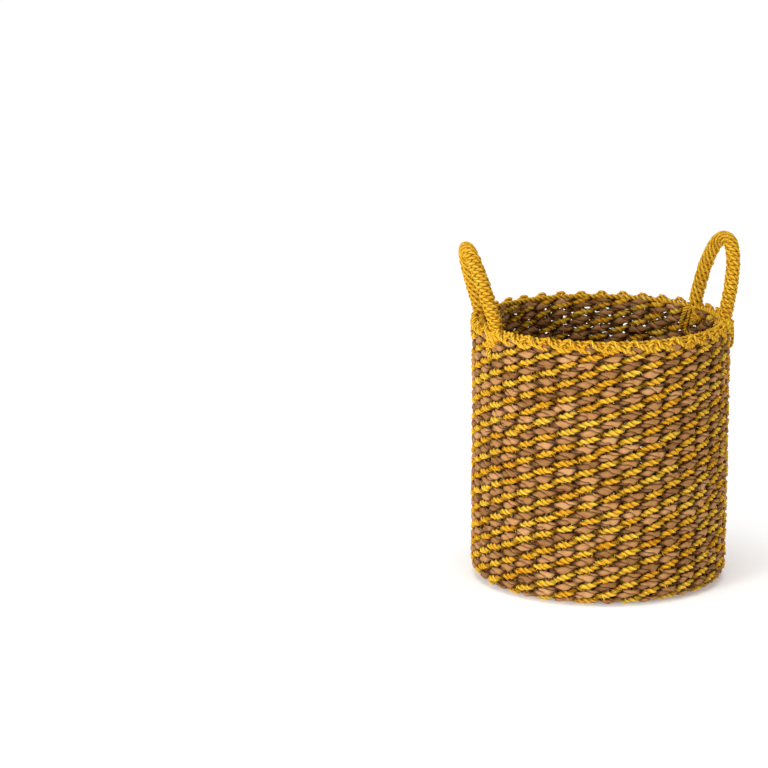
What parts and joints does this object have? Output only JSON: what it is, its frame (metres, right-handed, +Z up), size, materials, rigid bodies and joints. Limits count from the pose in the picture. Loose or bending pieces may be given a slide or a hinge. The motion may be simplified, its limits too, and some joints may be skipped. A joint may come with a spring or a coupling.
{
  "type": "woven laundry basket",
  "caption": "Round woven laundry basket, twined from yellow cord and brown fibre strip over upright stakes, with wrapped rope handles that flex at the rim.",
  "frame": {"origin": "centre of the base, on the surface that the basket stands on", "axes": "+Z up along the basket's axis, +X close to the right handle, -Y to the front"},
  "size_m": [0.3937, 0.3604, 0.4806],
  "materials": {
    "yellow_twine": "matte",
    "natural_strip": "matte",
    "woven_rows": "matte",
    "stake_cane": "matte",
    "handle_rope": "matte"
  },
  "bodies": {
    "basket": {"base_centre": "yellow_twine", "base_weave_inner": "woven_rows", "base_weave_outer": "woven_rows", "foot_weave": "woven_rows", "wall_weave_1": "woven_rows", "wall_weave_2": "woven_rows", "wall_weave_3": "woven_rows", "wall_weave_4": "woven_rows", "wall_weave_5": "woven_rows", "wall_weave_6": "woven_rows", "stakes": "stake_cane", "rim_border": "yellow_twine", "rim_loops": "yellow_twine", "right_handle_lashings": "yellow_twine", "right_handle_inner_tails": "yellow_twine", "right_handle_outer_tails": "yellow_twine", "left_handle_lashings": "yellow_twine", "left_handle_inner_tails": "yellow_twine", "left_handle_outer_tails": "yellow_twine"},
    "right_handle": {"right_handle_core": "handle_rope", "right_handle_wrap": "yellow_twine", "right_handle_root_knots": "yellow_twine"},
    "left_handle": {"left_handle_core": "handle_rope", "left_handle_wrap": "yellow_twine", "left_handle_root_knots": "yellow_twine"}
  },
  "joints": [
    {"name": "right_handle_flex", "type": "hinge", "parent": "basket", "child": "right_handle", "pos_m": [0.16019, 0.01261, 0.372], "axis": [-0.0785, 0.9969, 0], "range_deg": [-38, 27], "stiffness_Nm_per_rad": 1.5},
    {"name": "left_handle_flex", "type": "hinge", "parent": "basket", "child": "left_handle", "pos_m": [-0.16063, 0.00421, 0.372], "axis": [-0.0262, -0.9997, 0], "range_deg": [-42, 23], "stiffness_Nm_per_rad": 1.5}
  ]
}
